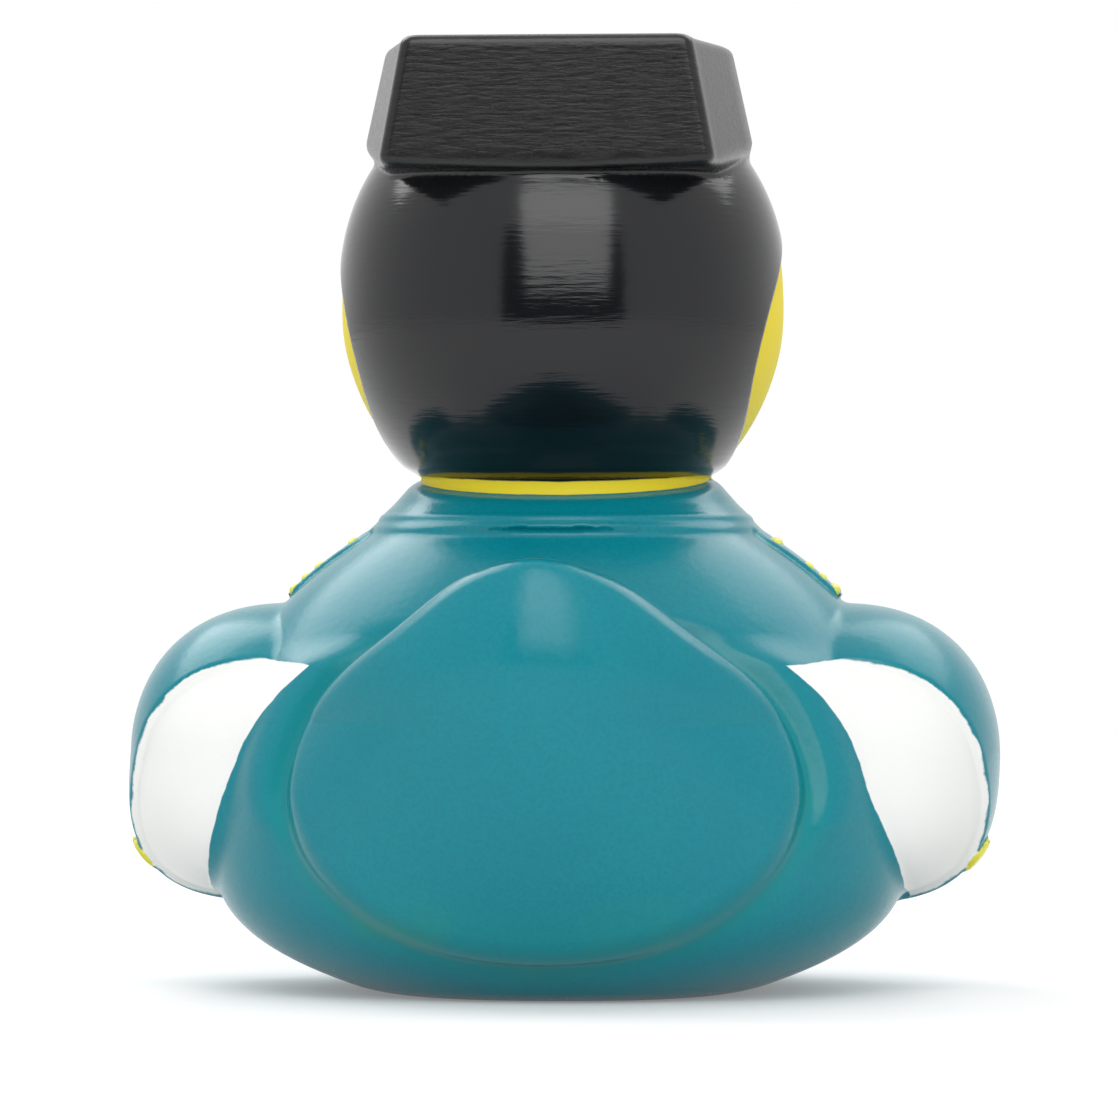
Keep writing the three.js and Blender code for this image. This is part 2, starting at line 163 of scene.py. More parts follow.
def bulge(x, y, z, reach, up, down, plan, top, foot):
    """Distance to a rounded form round the origin; plan, top and foot are its squarenesses."""
    u = np.abs(x) / reach[0]
    v = np.abs(y) / reach[1]
    share = eased(z, -0.35 * down, 0.35 * up)
    height = down + (up - down) * share
    w = np.abs(z) / height
    power = foot + (top - foot) * share
    level = (u ** plan + v ** plan) ** (1 / plan) + 1e-6
    size = (level ** power + w ** power) ** (1 / power)
    by_level = (level / size) ** (power - 1)
    steep = np.sqrt(
        (by_level * (u / level) ** (plan - 1) / reach[0]) ** 2
        + (by_level * (v / level) ** (plan - 1) / reach[1]) ** 2
        + ((w / size) ** (power - 1) / height) ** 2
    )
    return (size - 1) / steep


def torso_form(x, y, z):
    level = np.clip(z, 0, COLLAR_Z)
    below = np.clip(1 - level / BELLY_Z, 0, 1)
    above = np.clip((level - BELLY_Z) / (COLLAR_Z - BELLY_Z), 0, 1)
    bowl = below ** BOWL_POWER
    shoulder = above ** SHOULDER_POWER

    def reach(base, belly, collar):
        return belly - (belly - base) * bowl - (belly - collar) * shoulder

    side = reach(BASE_SIDE, BELLY_SIDE, COLLAR_SIDE)
    front = reach(BASE_FRONT, BELLY_FRONT, COLLAR_FRONT)
    back = reach(BASE_BACK, BELLY_BACK, COLLAR_BACK)
    along = y - (BELLY_Y + (COLLAR_Y - BELLY_Y) * above)
    depth = np.where(along < 0, front, back)
    size = (np.abs(x / side) ** TORSO_SQUARENESS
            + np.abs(along / depth) ** TORSO_SQUARENESS) ** (1 / TORSO_SQUARENESS) + 1e-4
    gap = np.hypot(x, along) * (1 - 1 / size)
    lean = ((BELLY_SIDE - BASE_SIDE) * BOWL_POWER * below ** (BOWL_POWER - 1) / BELLY_Z
            - (BELLY_SIDE - COLLAR_SIDE) * SHOULDER_POWER * above ** (SHOULDER_POWER - 1)
            / (COLLAR_Z - BELLY_Z))
    wall = gap / np.sqrt(1 + lean ** 2)
    return soft_cut(soft_cut(wall, -z, 1.0), z - COLLAR_Z - COLLAR_LAP, 1.2)


def tail_form(x, y, z):
    """A shield with a round tip, straight upper flanks and an oval lower half, crowned towards the back."""
    rise = z - TAIL_WIDE_Z
    upper = rise > 0
    height = np.where(upper, TAIL_TIP_Z - TAIL_WIDE_Z, TAIL_WIDE_Z - TAIL_FOOT_Z)
    power = np.where(upper, TAIL_TIP_SQUARENESS, TAIL_FOOT_SQUARENESS)
    u = np.abs(x) / TAIL_SIDE
    v = np.abs(rise) / height
    off = v - TAIL_FLAT_AT
    flat = np.where(upper, TAIL_FLAT * np.exp(-(off / TAIL_FLAT_SPREAD) ** 2), 0)
    steep_u = 2 * (u + flat) / TAIL_SIDE
    steep_v = (power * v ** (power - 1) - 4 * (u + flat) * flat * off / TAIL_FLAT_SPREAD ** 2) / height
    steep = np.sqrt(steep_u ** 2 + steep_v ** 2)
    outline = ((u + flat) ** 2 + v ** power - 1) / np.maximum(steep, 0.03)
    width = np.maximum(np.sqrt(np.maximum(1 - v ** power, 0)) - flat, 0.2)
    below = np.clip((TAIL_FULL_Z - z) / (TAIL_FULL_Z - TAIL_FOOT_Z), 0, 1.1)
    above = np.clip((z - TAIL_FULL_Z) / (TAIL_TIP_Z - TAIL_FULL_Z), 0, 1.2)
    crest = (REACH_BACK + (TAIL_FOOT_BACK - REACH_BACK) * below ** TAIL_FOOT_SWEEP
             + (TAIL_TIP_BACK - REACH_BACK) * above ** TAIL_TIP_SWEEP)
    depth = TAIL_DEPTH * width ** TAIL_NARROWING * np.clip(z / TAIL_ROUND_Z, 0.05, 1)
    across = np.minimum(u / width, 1.3)
    local = across * TAIL_CREST
    spare = math.hypot(1, TAIL_CREST) - 1
    crown = (1 - TAIL_ROLL) * (np.hypot(1, local) - 1) / spare
    crown_lean = (1 - TAIL_ROLL) * TAIL_CREST * local / (np.hypot(1, local) * spare)
    roll = TAIL_ROLL * across ** TAIL_ROLL_POWER
    roll_lean = TAIL_ROLL * TAIL_ROLL_POWER * across ** (TAIL_ROLL_POWER - 1)
    bend = depth * (crown + roll)
    lean = depth * (crown_lean + roll_lean) / (width * TAIL_SIDE)
    face = (y - crest + bend) / np.sqrt(1.05 + lean ** 2)
    inner = (crest - 2 * depth - 3) - y
    rounding = TAIL_ROUNDING + TAIL_MORE_ROUNDING * eased(-rise, *TAIL_ROUNDING_LEVELS)
    return soft_cut(soft_cut(outline, face, rounding), inner, 3.0)


def collar_form(x, y, z):
    """A flared band that dips at the nape, with a narrow rim along its lower edge."""
    away = np.hypot(x, y - COLLAR_Y)
    foot_r = COLLAR_SIDE + COLLAR_PROUD
    flare = (foot_r - COLLAR_TOP_R) / COLLAR_RISE
    side = (away - COLLAR_TOP_R - (COLLAR_Z + COLLAR_RISE - z) * flare) / math.hypot(1, flare)
    top = z - (COLLAR_Z + COLLAR_RISE - COLLAR_DIP * (y - COLLAR_Y))
    band = soft_cut(soft_cut(side, COLLAR_Z - COLLAR_LAP - z, 0.4), top, 0.8)
    rim = soft_cut(away - foot_r + COLLAR_RIM_IN, np.abs(z - COLLAR_Z) - COLLAR_RIM_HALF, 0.4)
    return soft_join(band, rim, 0.5)


def neck_lean(z):
    """How far forward each level of the head lies, below its widest level."""
    return NECK_LEAN * (np.clip(HEAD_Z - z, 0, NECK_LEAN_END) / HAIR_DROP) ** 2


def head_form(x, y, z):
    return bulge(x, y + neck_lean(z), z - HEAD_Z, (HEAD_R, HEAD_R), HEAD_UP, HEAD_DOWN,
                 ROUND, CROWN_SQUARENESS, ROUND)


def neck_form(x, y, z):
    tube = np.hypot(x, y + NECK_LEAN) - NECK_R
    return np.maximum(np.maximum(tube, z - HEAD_Z), (COLLAR_Z - NECK_SINK) - z)


def hair_edge(x, y, z):
    """Below zero where hair covers the head."""
    behind = CHEEK_BACK - CHEEK_CURVE * (z - CHEEK_Z) ** 2 - (y + neck_lean(z))
    behind /= np.sqrt(1 + (2 * CHEEK_CURVE * (z - CHEEK_Z)) ** 2)
    brow = HEAD_Z + BROW_RISE + (CHEEK_BACK - y) * BROW_SLOPE - z
    nape = HEAD_Z - HAIR_DROP + NAPE_LIFT * (x / NAPE_SIDE) ** 2 - z
    return np.maximum(soft_join(behind, brow, 2.0), nape)


def hat_form(x, y, z):
    """A block with flat ends, and a lower lobe with sloping faces on each flank."""
    ax, ay = np.abs(x), np.abs(y)
    rise = (z - HAT_SEAT_Z) / HAT_H
    end = HAT_END_FOOT + (HAT_END_TOP - HAT_END_FOOT) * rise
    depth = HAT_DEPTH_FOOT + (HAT_DEPTH_TOP - HAT_DEPTH_FOOT) * rise
    flank = HAT_FLANK_FOOT + (HAT_FLANK_TOP - HAT_FLANK_FOOT) * rise
    run = HAT_FLANK_LENGTH / 2
    top = z - (HAT_SEAT_Z + HAT_H)
    back = (ay - depth) / math.hypot(1, (HAT_DEPTH_FOOT - HAT_DEPTH_TOP) / HAT_H)
    side_tilt = math.hypot(1, (HAT_END_FOOT - HAT_END_TOP) / HAT_H)
    foot = HAT_SEAT_Z - HAT_SINK + HAT_FOOT_CURVE * (ax / HAT_END_FOOT) ** 2 - z
    block = soft_cut((ax - end) / side_tilt, back, 1.0)
    block = soft_cut(soft_cut(block, top, 1.1), foot, 0.8)
    reach = np.where(y < HAT_FLANK_Y, depth + HAT_FLANK_Y, depth - HAT_FLANK_Y)
    slant = ((ax - end) * (reach - run) + (np.abs(y - HAT_FLANK_Y) - reach) * (flank - end)) / (
        np.hypot(reach - run, flank - end) * side_tilt)
    lobe = soft_cut(soft_cut(slant, (ax - flank) / side_tilt, 0.6), back, 1.0)
    lobe_foot = HAT_SEAT_Z - HAT_FLANK_SINK + HAT_FLANK_RISE * eased(ax, HAT_FLANK_IN, HAT_FLANK_OUT) - z
    lobe = soft_cut(soft_cut(lobe, top + HAT_FLANK_DROP, 1.0), lobe_foot, 1.6)
    return soft_join(block, lobe, 0.5)


def wing_shift(x, rise):
    """How far a level of the wing lies inwards of the wing's middle."""
    tip = np.where(x > 0, TIP_SPLAY_LEFT, TIP_SPLAY_RIGHT)
    return np.where(rise > 0, WING_SPLAY, tip) * rise


def wing_form(x, y, z, out):
    """A folded wing, or the sleeve that stands out from it by so much."""
    px = np.abs(x) - WING_OUT + wing_shift(x, z - WING_Z)
    length = np.where(y > WING_Y, WING_BACK, WING_FRONT)
    return bulge(px, y - WING_Y, z - WING_Z, (WING_REACH + out, length + out),
                 WING_RISE + out, WING_RISE + out,
                 WING_PLAN_SQUARENESS, WING_TOP_SQUARENESS, WING_FOOT_SQUARENESS)


def cuff_plane(y, z):
    """Below zero on the sleeve's side of its slanting end."""
    return (y - CUFF_Y - CUFF_SLOPE * (z - WING_Z)) / math.hypot(1, CUFF_SLOPE)


def cuff_button_form(x, y, z):
    """A low oval on the sleeve's outer face."""
    out = np.array([math.cos(CUFF_BUTTON_AIM), -math.sin(CUFF_BUTTON_AIM)])
    power = WING_FOOT_SQUARENESS
    reach = (out[0] ** power + abs(out[1]) ** power) ** (1 / power)
    px = out[0] / reach * (WING_REACH + SLEEVE_PROUD)
    pz = out[1] / reach * (WING_RISE + SLEEVE_PROUD)
    dx = np.abs(x) - (WING_OUT + px - wing_shift(x, pz))
    dz = z - (WING_Z + pz)
    away = dx * out[0] + dz * out[1]
    along = -dx * out[1] + dz * out[0]
    back = CUFF_BUTTON_SQUEEZE * (y - CUFF_BUTTON_Y)
    size = np.hypot(np.hypot(along, back) / CUFF_BUTTON_R, away / CUFF_BUTTON_PROUD)
    steep = np.hypot(np.hypot(along, CUFF_BUTTON_SQUEEZE * back) / CUFF_BUTTON_R ** 2,
                     away / CUFF_BUTTON_PROUD ** 2)
    return size * (size - 1) / np.maximum(steep, 1e-6)


def board_form(y, z, torso):
    ends = np.maximum(z - BOARD_TOP_Z, BOARD_FOOT_Z - z)
    edge = soft_cut(np.abs(y - BOARD_Y) - BOARD_WIDTH / 2, ends, 1.5)
    return soft_cut(torso - BOARD_PROUD, edge, 0.4)


def bill_forms(x, y, z):
    root = -HEAD_R * math.sqrt(1 - (BILL_DROP / HEAD_DOWN) ** 2)
    length = REACH_FRONT + root
    upper = bulge(x, y - root, z - BILL_Z, (BILL_SIDE, length),
                  UPPER_BILL_H, UPPER_BILL_SAG, UPPER_BILL_SQUARENESS, ROUND, ROUND)
    lower = bulge(x, y - root, z - BILL_Z + LOWER_BILL_DROP, (LOWER_BILL_SIDE, length - LOWER_BILL_SHORT),
                  LOWER_BILL_DROP, LOWER_BILL_H, LOWER_BILL_SQUARENESS, ROUND, ROUND)
    return upper, lower


def duck_forms(points):
    """Distances to each form that the duck is joined from, and to the lines that end some of them."""
    x, y, z = points[:, 0], points[:, 1], points[:, 2]
    f = {"torso": torso_form(x, y, z), "tail": tail_form(x, y, z), "collar": collar_form(x, y, z)}
    f["head"] = np.minimum(head_form(x, y, z), neck_form(x, y, z))
    f["hair_edge"] = hair_edge(x, y, z)
    f["hair"] = soft_cut(head_form(x, y, z) - HAIR_PROUD, f["hair_edge"], 0.8)
    f["hat"] = hat_form(x, y, z)
    f["hand"] = wing_form(x, y, z, 0.0)
    f["cuff"] = cuff_plane(y, z)
    f["sleeve"] = soft_cut(wing_form(x, y, z, SLEEVE_PROUD), f["cuff"], 0.6)
    f["button"] = cuff_button_form(x, y, z)
    f["board"] = board_form(y, z, f["torso"])
    f["upper_bill"], f["lower_bill"] = bill_forms(x, y, z)
    return f


def duck_skin(points):
    """Distance to the outer skin, below zero inside the duck."""
    f = duck_forms(points)
    z = points[:, 2]
    crease = f["torso"] - f["tail"]
    flanks = eased(z, *FLANK_LEVELS)
    half = GROOVE_HALF + GROOVE_MORE_HALF * flanks
    groove = (GROOVE_DEPTH + GROOVE_MORE_DEPTH * flanks) * np.exp(-(crease / half) ** 2)
    beside = -crease - RIDGE_AWAY
    spread = np.where(beside < 0, RIDGE_NEAR, RIDGE_FAR)
    ridge = RIDGE_PROUD * flanks * eased(z, *RIDGE_END_LEVELS) * np.exp(-(beside / spread) ** 2)
    tail_blend = TAIL_BLEND - TAIL_LESS_BLEND * eased(z, *TAIL_BLEND_LEVELS)
    wing_root = eased(z, *WING_BLEND_FOOT_LEVELS) * eased(z, *WING_BLEND_TOP_LEVELS)
    wing_blend = WING_BLEND + WING_MORE_BLEND * wing_root
    body = soft_join(f["torso"], f["tail"], tail_blend) + groove - ridge
    body = soft_join(body, f["hand"], wing_blend)
    body = soft_join(soft_join(body, f["sleeve"], 0.5), f["button"], 0.3)
    body = soft_join(body, f["board"], 0.4)
    body = soft_join(body, f["collar"], 1.3)
    top = soft_join(soft_join(f["head"], f["hair"], 0.5), f["hat"], 0.8)
    bill = soft_join(f["upper_bill"], f["lower_bill"], 0.3)
    return soft_join(body, soft_join(top, bill, 1.2), 0.6)


def duck_hollow(points):
    """Distance to the inner skin, which follows the plain forms one wall further in."""
    x, y, z = points[:, 0], points[:, 1], points[:, 2]
    room = soft_join(torso_form(x, y, z), tail_form(x, y, z), HOLLOW_BLEND)
    room = soft_join(room, wing_form(x, y, z, 0.0), HOLLOW_BLEND)
    head = np.minimum(head_form(x, y, z), neck_form(x, y, z))
    top = soft_join(head, hat_form(x, y, z), HOLLOW_BLEND)
    return soft_join(room, top, HOLLOW_BLEND) + WALL


# Skins

def field_on_grid(field, low, counts, step):
    """The field on a grid of points, worked out finely only near the skin."""
    coarse = 6
    near_blocks = 1.7
    batch = 400000
    axes = [low[i] + step * coarse * np.arange(math.ceil(counts[i] / coarse) + 1) for i in range(3)]
    rough_points = np.stack(np.meshgrid(*axes, indexing="ij"), axis=-1)
    rough = field(rough_points.reshape(-1, 3)).reshape(rough_points.shape[:3])
    near = np.abs(rough) < step * coarse * near_blocks
    values = np.repeat(np.repeat(np.repeat(rough, coarse, 0), coarse, 1), coarse, 2)
    near = np.repeat(np.repeat(np.repeat(near, coarse, 0), coarse, 1), coarse, 2)
    # shifted by half a block, so that each fine point takes the value of the nearest rough one
    half = coarse // 2
    values = values[half:half + counts[0], half:half + counts[1], half:half + counts[2]].copy()
    near = near[half:half + counts[0], half:half + counts[1], half:half + counts[2]]
    where = np.argwhere(near)
    for start in range(0, len(where), batch):
        part = where[start:start + batch]
        values[part[:, 0], part[:, 1], part[:, 2]] = field(low + step * part)
    return values


def skin_of(field, low, high, step):
    """Points and four-sided faces of the surface where the field is zero."""
    low = np.asarray(low, float)
    counts = np.ceil((np.asarray(high) - low) / step).astype(int) + 1
    values = field_on_grid(field, low, counts, step)
    inside = values < 0
    corner_counts = np.zeros(counts - 1, np.int8)
    for corner in np.ndindex(2, 2, 2):
        corner_counts += inside[tuple(slice(c, n - 1 + c) for c, n in zip(corner, counts))]
    cells = np.argwhere((corner_counts > 0) & (corner_counts < 8))
    number = np.full(counts - 1, -1, np.int64)
    number[tuple(cells.T)] = np.arange(len(cells))
    total = np.zeros((len(cells), 3))
    crossings = np.zeros(len(cells))
    for axis in range(3):
        for offset in np.ndindex(2, 2):
            start = np.insert(np.array(offset), axis, 0)
            end = start.copy()
            end[axis] = 1
            a = values[tuple((cells + start).T)]
            b = values[tuple((cells + end).T)]
            crossed = (a < 0) != (b < 0)
            share = np.where(crossed, a / np.where(crossed, a - b, 1), 0)
            place = start + np.outer(share, np.eye(3)[axis])
            total += place * crossed[:, None]
            crossings += crossed
    points = low + step * (cells + total / crossings[:, None])
    faces = []
    for axis in range(3):
        first = [slice(None)] * 3
        second = [slice(None)] * 3
        first[axis], second[axis] = slice(0, -1), slice(1, None)
        a, b = inside[tuple(first)], inside[tuple(second)]
        edges = np.argwhere(a != b)
        others = [i for i in range(3) if i != axis]
        keep = np.all(edges[:, others] > 0, axis=1) & np.all(
            edges[:, others] < (counts - 1)[others], axis=1)
        edges = edges[keep]
        ring = []
        for step_u, step_v in ((-1, -1), (0, -1), (0, 0), (-1, 0)):
            cell = edges.copy()
            cell[:, others[0]] += step_u
            cell[:, others[1]] += step_v
            ring.append(number[tuple(cell.T)])
        quads = np.stack(ring, axis=1)
        outward = a[tuple(edges.T)] ^ (axis == 1)
        quads[~outward] = quads[~outward][:, ::-1]
        faces.append(quads)
    return points, np.concatenate(faces)


def slope_of(field, points, reach):
    slope = np.empty_like(points)
    for axis in range(3):
        step = np.zeros(3)
        step[axis] = reach
        slope[:, axis] = field(points + step) - field(points - step)
    return slope / (2 * reach)


def settle(field, points, faces, step, rounds):
    """Evens out the points along the skin and draws them onto it."""
    count = len(points)
    ends = np.concatenate([faces[:, [0, 1]], faces[:, [1, 2]], faces[:, [2, 3]], faces[:, [3, 0]]])
    degree = np.bincount(ends[:, 0], minlength=count)
    for _ in range(rounds):
        middle = np.stack([np.bincount(ends[:, 0], points[ends[:, 1], i], count) for i in range(3)], 1)
        middle /= degree[:, None]
        slope = slope_of(field, points, SLOPE_REACH)
        facing = slope / np.linalg.norm(slope, axis=1, keepdims=True)
        drift = middle - points
        drift -= facing * np.sum(drift * facing, axis=1, keepdims=True)
        points = points + 0.5 * drift
        for _ in range(2):
            slope = slope_of(field, points, SLOPE_REACH)
            size = np.sum(slope ** 2, axis=1)
            move = field(points) / np.maximum(size, 0.05)
            move = np.clip(move, -0.6 * step, 0.6 * step)
            points = points - slope * move[:, None]
    return points


def mesh_from(name, points, faces):
    mesh = bpy.data.meshes.new(name)
    mesh.vertices.add(len(points))
    mesh.vertices.foreach_set("co", (points * MM).astype(np.float32).ravel())
    mesh.loops.add(faces.size)
    mesh.loops.foreach_set("vertex_index", faces.astype(np.int32).ravel())
    mesh.polygons.add(len(faces))
    sides = faces.shape[1]
    mesh.polygons.foreach_set("loop_start", np.arange(len(faces), dtype=np.int32) * sides)
    mesh.update(calc_edges=True)
    mesh.validate()
    return mesh


def vectors_of(items, kind):
    values = np.empty(len(items) * 3, np.float32)
    items.foreach_get(kind, values)
    return values.reshape(-1, 3).astype(float)


def shown(name, mesh):
    piece = bpy.data.objects.new(name, mesh)
    bpy.context.scene.collection.objects.link(piece)
    return piece


def finished_mesh(piece, name):
    """The piece's mesh with its modifiers taken in, as a plain mesh."""
    graph = bpy.context.evaluated_depsgraph_get()
    mesh = bpy.data.meshes.new_from_object(piece.evaluated_get(graph), depsgraph=graph)
    mesh.name = name
    return mesh


# The moulding

def vent_cutter():
    sides = 24
    turn = np.arange(sides) * 2 * math.pi / sides
    ring = np.stack([np.cos(turn) * VENT_D / 2, np.sin(turn) * VENT_D / 2 + BELLY_Y], axis=1)
    points = np.concatenate([np.c_[ring, np.full(sides, -WALL)], np.c_[ring, np.full(sides, 2.5 * WALL)]])
    faces = [list(range(sides))[::-1], list(range(sides, 2 * sides))]
    for i in range(sides):
        j = (i + 1) % sides
        faces.append([i, j, sides + j, sides + i])
    mesh = bpy.data.meshes.new("vent")
    mesh.from_pydata([tuple(p * MM) for p in points], [], faces)
    return shown("vent", mesh)


def moulded_duck():
    """The outer skin and the inner one, turned inside out, with the vent bored through both."""
    points, faces = skin_of(duck_skin, GRID_LOW, GRID_HIGH, SKIN_STEP)
    points = settle(duck_skin, points, faces, SKIN_STEP, 2)
    inner, inner_faces = skin_of(duck_hollow, GRID_LOW, GRID_HIGH, HOLLOW_STEP)
    faces = np.concatenate([faces, inner_faces[:, ::-1] + len(points)])
    points = np.concatenate([points, inner])
    piece = shown("duck_raw", mesh_from("duck_raw", points, faces))
    vent = vent_cutter()
    bore = piece.modifiers.new("vent", "BOOLEAN")
    bore.operation = "DIFFERENCE"
    bore.solver = "MANIFOLD"
    bore.object = vent
    thin = piece.modifiers.new("thin", "DECIMATE")
    thin.ratio = SKIN_TRIANGLES / (2 * len(faces))
    mesh = finished_mesh(piece, "duck")
    for used in (piece, vent):
        bpy.data.objects.remove(used)
    return mesh


def even_shading(mesh):
    """Takes each point's facing from the form itself, so that thinned parts shade smoothly."""
    reach, near, alike = 0.08, 0.15, 0.6
    mesh.shade_smooth()
    points = vectors_of(mesh.vertices, "co") / MM
    facing = vectors_of(mesh.vertices, "normal")
    slope = slope_of(duck_skin, points, reach)
    slope /= np.maximum(np.linalg.norm(slope, axis=1, keepdims=True), 1e-6)
    outer = (np.abs(duck_skin(points)) < near) & (np.sum(slope * facing, axis=1) > alike)
    facing[outer] = slope[outer]
    mesh.normals_split_custom_set_from_vertices(facing)


def white_edge(x, z):
    """Below zero inside the white of the folded wing, as seen from behind."""
    ax = np.abs(x)
    inner = WHITE_SIDE - WHITE_CURVE * np.maximum(z - WHITE_FOOT_Z, 0) ** WHITE_POWER - ax
    swell = np.where(x > 0, WHITE_SWELL_LEFT, WHITE_SWELL_RIGHT)
    inner -= swell * np.exp(-((z - WHITE_SWELL_Z) / WHITE_SWELL_HALF) ** 2)
    top = z - WHITE_TOP_Z - WHITE_TOP_SLOPE * (ax - WHITE_TOP_X)
    return np.maximum(inner, top)


def paint_edges(mesh):
    """How far each point of the skin lies from the edge of each colour, in millimetres."""
    points = vectors_of(mesh.vertices, "co") / MM
    x, y, z = points.T
    f = duck_forms(points)
    body = np.minimum.reduce([f["torso"], f["tail"], f["collar"], f["sleeve"], f["hand"]])
    on_head = np.minimum(f["head"], f["hair"]) - body
    bill = np.minimum(f["upper_bill"], f["lower_bill"])
    eye_size = np.hypot((np.abs(x) - EYE_OUT) / EYE_HALF_WIDTH, (z - EYE_Z) / EYE_HALF_HEIGHT)
    edges = {
        "skin_edge": on_head,
        "hair_edge": np.maximum(f["hair_edge"] - HAIR_PAINT_OVER, on_head),
        "hat_edge": f["hat"] - np.minimum(f["head"], f["hair"]),
        "bill_edge": np.maximum(bill - f["head"], y - BILL_PAINT_Y),
        "eye_edge": np.maximum((eye_size - 1) * EYE_HALF_WIDTH, y),
        "white_edge": np.maximum(white_edge(x, z), -CUFF_PAINT_OVER - f["cuff"]),
        "button_edge": f["button"] - np.minimum(f["sleeve"], f["hand"]),
        "tail_groove": np.abs(f["torso"] - f["tail"]),
    }
    for name, values in edges.items():
        layer = mesh.attributes.new(name, "FLOAT", "POINT")
        layer.data.foreach_set("value", np.clip(values, -PAINT_REACH, PAINT_REACH).astype(np.float32))


def share_paints(mesh):
    """Gives the hat's faces the second paint and the head's the third."""
    first = np.empty(len(mesh.polygons), np.int32)
    mesh.polygons.foreach_get("loop_start", first)
    corner = np.empty(len(mesh.loops), np.int32)
    mesh.loops.foreach_get("vertex_index", corner)
    edge = np.empty(len(mesh.vertices), np.float32)
    mesh.attributes["hat_edge"].data.foreach_get("value", edge)
    hat = edge[corner[first]] < -HAT_PAINT_SHORT
    mesh.attributes["skin_edge"].data.foreach_get("value", edge)
    head = edge[corner[first]] < 0
    mesh.polygons.foreach_set("material_index", np.where(hat, 1, np.where(head, 2, 0)).astype(np.int32))


# Paint

class Paint:
    """A node material built step by step."""

    def __init__(self, name):
        self.material = bpy.data.materials.new(name)
        self.material.use_nodes = True
        self.tree = self.material.node_tree
        self.shader = self.tree.nodes["Principled BSDF"]
        self.place = self.node("ShaderNodeTexCoord").outputs["Object"]

    def node(self, kind, **settings):
        made = self.tree.nodes.new(kind)
        for key, value in settings.items():
            setattr(made, key, value)
        return made

    def feed(self, socket, value):
        if isinstance(value, bpy.types.NodeSocket):
            self.tree.links.new(value, socket)
        else:
            socket.default_value = value

    def maths(self, operation, *values):
        made = self.node("ShaderNodeMath", operation=operation)
        for socket, value in zip(made.inputs, values):
            self.feed(socket, value)
        return made.outputs[0]

    def noise(self, scale, detail=2.0, stretch=(1, 1, 1), roughness=0.5):
        mapping = self.node("ShaderNodeMapping")
        self.feed(mapping.inputs["Vector"], self.place)
        mapping.inputs["Scale"].default_value = stretch
        made = self.node("ShaderNodeTexNoise")
        self.feed(made.inputs["Vector"], mapping.outputs[0])
        made.inputs["Scale"].default_value = scale
        made.inputs["Detail"].default_value = detail
        made.inputs["Roughness"].default_value = roughness
        return made.outputs["Fac"]

    def spread(self, value, low, high, out_low=0.0, out_high=1.0):
        made = self.node("ShaderNodeMapRange")
        self.feed(made.inputs["Value"], value)
        ends = {"From Min": low, "From Max": high, "To Min": out_low, "To Max": out_high}
        for name, number in ends.items():
            made.inputs[name].default_value = number
        return made.outputs[0]

    def part(self, value, share):
        """The value, brought down to run from 0 to the share."""
        return self.spread(value, 0, 1, 0, share)

    def blend(self, share, a, b, kind="RGBA"):
        made = self.node("ShaderNodeMix", data_type=kind)
        self.feed(made.inputs["Factor"], share)
        self.feed(made.inputs["A"], a)
        self.feed(made.inputs["B"], b)
        return made.outputs["Result"]

    def blend_number(self, share, a, b):
        return self.blend(share, a, b, "FLOAT")

    def relief(self, height, strength, distance):
        bump = self.node("ShaderNodeBump")
        bump.inputs["Strength"].default_value = strength
        bump.inputs["Distance"].default_value = distance
        self.feed(bump.inputs["Height"], height)
        self.feed(self.shader.inputs["Normal"], bump.outputs[0])

    def layer(self, name):
        return self.node("ShaderNodeAttribute", attribute_name=name).outputs["Fac"]

    def inside(self, edge, wobble, soft=0.05):
        """1 inside a painted edge and 0 outside, with the brush's unsteadiness added."""
        return self.spread(self.maths("ADD", self.layer(edge), wobble), soft, -soft)


TEAL = (0.0, 0.21, 0.27, 1)
TEAL_PALE = (0.004, 0.245, 0.295, 1)
TEAL_DEEP = (0.0, 0.165, 0.20, 1)
GROOVE_TEAL = (0.0, 0.235, 0.25, 1)
GROOVE_GREEN = (0.03, 0.27, 0.15, 1)
HAT_BLACK = (0.001, 0.001, 0.0015, 1)
HAT_GREY = (0.011, 0.0105, 0.011, 1)
HAIR_BLACK = (0.005, 0.0055, 0.007, 1)
SKIN_YELLOW = (0.83, 0.67, 0.015, 1)
WHITE = (0.87, 0.88, 0.86, 1)
BILL_ORANGE = (0.80, 0.22, 0.02, 1)
EYE_BLACK = (0.006, 0.006, 0.007, 1)
BEAD_YELLOW = (0.78, 0.74, 0.06, 1)
BEAD_PALE = (0.70, 0.72, 0.12, 1)
FLOOR_GREY = (0.72, 0.72, 0.72, 1)
CARD_BLACK = (0.02, 0.02, 0.02, 1)

TEAL_ROUGHNESS = (0.22, 0.27)
HAT_ROUGHNESS = (0.24, 0.30)
WHITE_ROUGHNESS, SKIN_ROUGHNESS, HAIR_ROUGHNESS, EYE_ROUGHNESS = 0.5, 0.6, 0.15, 0.12
BEAD_ROUGHNESS, SHEET_ROUGHNESS = 0.35, 0.9
BODY_SHINE, HEAD_SHINE, HAT_SHINE = 0.3, 0.42, 0.45
GRAIN = 0.1 * MM  # height of the brush marks


